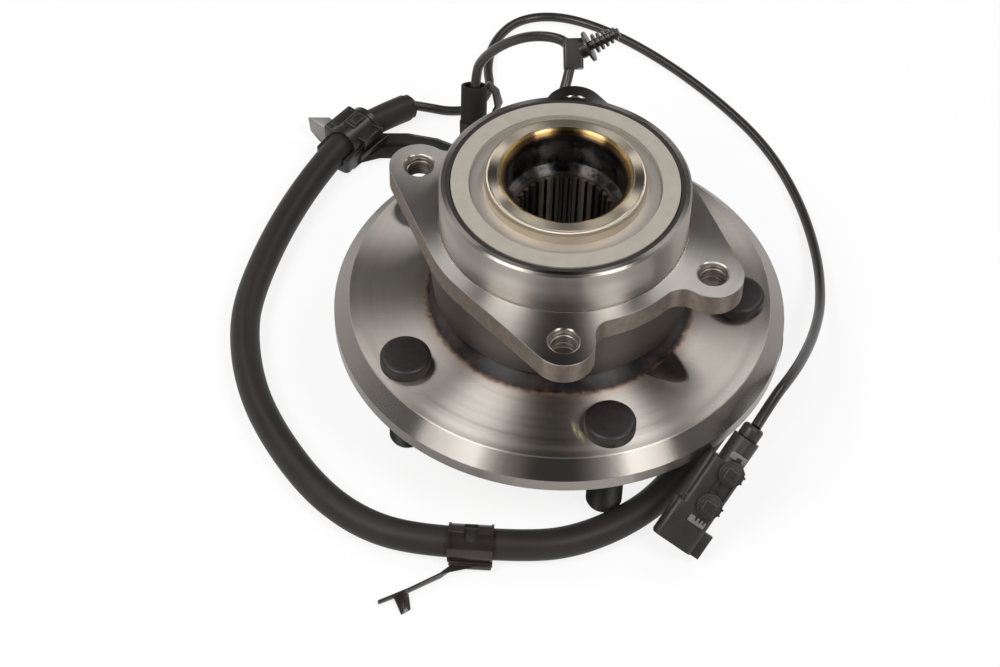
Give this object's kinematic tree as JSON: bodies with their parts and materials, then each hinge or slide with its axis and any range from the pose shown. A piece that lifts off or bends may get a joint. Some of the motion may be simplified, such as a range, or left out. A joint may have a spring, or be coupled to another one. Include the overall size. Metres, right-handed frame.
{
  "type": "wheel hub bearing",
  "caption": "Flanged wheel hub bearing: a four-eared carrier with a round spigot, a splined hub with wheel studs, and a speed sensor lead in a rubber hose with clips and a plug.",
  "frame": {"origin": "on the bearing's axis, in the plane of the carrier's ear faces, which meet the knuckle", "axes": "+Z along the bearing's axis, inboard towards the drive shaft; the wheel studs point along -Z; +X to the right with the lead's loop on the -X side"},
  "size_m": [0.2437, 0.3415, 0.11],
  "materials": {
    "forged_steel": "forged skin with turned faces",
    "turned_steel": "turned, bright",
    "bearing_steel": "ground, satin",
    "cage_plastic": "moulded nylon",
    "encoder": "matt beige magnetic coating",
    "zinc_steel": "plated sheet",
    "seal_rubber": "nitrile rubber",
    "black_steel": "phosphated or painted black",
    "black_plastic": "moulded, fine grain",
    "grey_plastic": "moulded, satin",
    "cable_jacket": "smooth jacket, satin",
    "hose_rubber": "matt rubber",
    "terminal_brass": "tinned brass"
  },
  "bodies": {
    "carrier": {"outer_ring": "forged_steel", "inboard_seal_case": "zinc_steel", "inboard_seal_rubber": "seal_rubber", "outboard_seal_case": "zinc_steel", "outboard_seal_rubber": "seal_rubber", "speed_sensor": "black_plastic", "sensor_o_ring": "seal_rubber", "sensor_screw": "zinc_steel", "sensor_cable": "cable_jacket", "protective_hose": "hose_rubber", "lead_cable": "cable_jacket", "hose_mouth_sleeve": "hose_rubber", "hose_end_plug": "hose_rubber", "mouth_strap": "black_steel", "fir_tree_clip": "black_plastic", "clip1_base": "black_plastic", "clip1_cover": "black_plastic", "clip1_bracket": "black_steel", "clip2_band": "black_steel", "clip2_arm": "black_steel", "connector_housing": "black_plastic", "connector_seal_cap": "black_plastic", "connector_terminals": "terminal_brass", "connector_locks": "grey_plastic", "connector_mounts": "black_plastic"},
    "hub": {"hub_flange": "turned_steel", "inner_ring": "bearing_steel", "seal_slinger": "encoder", "tone_ring": "zinc_steel", "wheel_studs": "black_steel"},
    "row_inboard": {"balls_inboard": "bearing_steel", "cage_inboard": "cage_plastic"},
    "row_outboard": {"balls_outboard": "bearing_steel", "cage_outboard": "cage_plastic"}
  },
  "joints": [
    {"name": "hub_spin", "type": "hinge", "parent": "carrier", "child": "hub", "pos_m": [0, 0, 0], "axis": [0, 0, 1], "continuous": true},
    {"name": "row_inboard_spin", "type": "hinge", "parent": "carrier", "child": "row_inboard", "pos_m": [0, 0, 0.006], "axis": [0, 0, 1], "continuous": true},
    {"name": "row_outboard_spin", "type": "hinge", "parent": "carrier", "child": "row_outboard", "pos_m": [0, 0, -0.025], "axis": [0, 0, 1], "continuous": true}
  ],
  "couplings": [
    {"joint": "row_inboard_spin", "follows": "hub_spin", "ratio": 0.428},
    {"joint": "row_outboard_spin", "follows": "hub_spin", "ratio": 0.428}
  ]
}
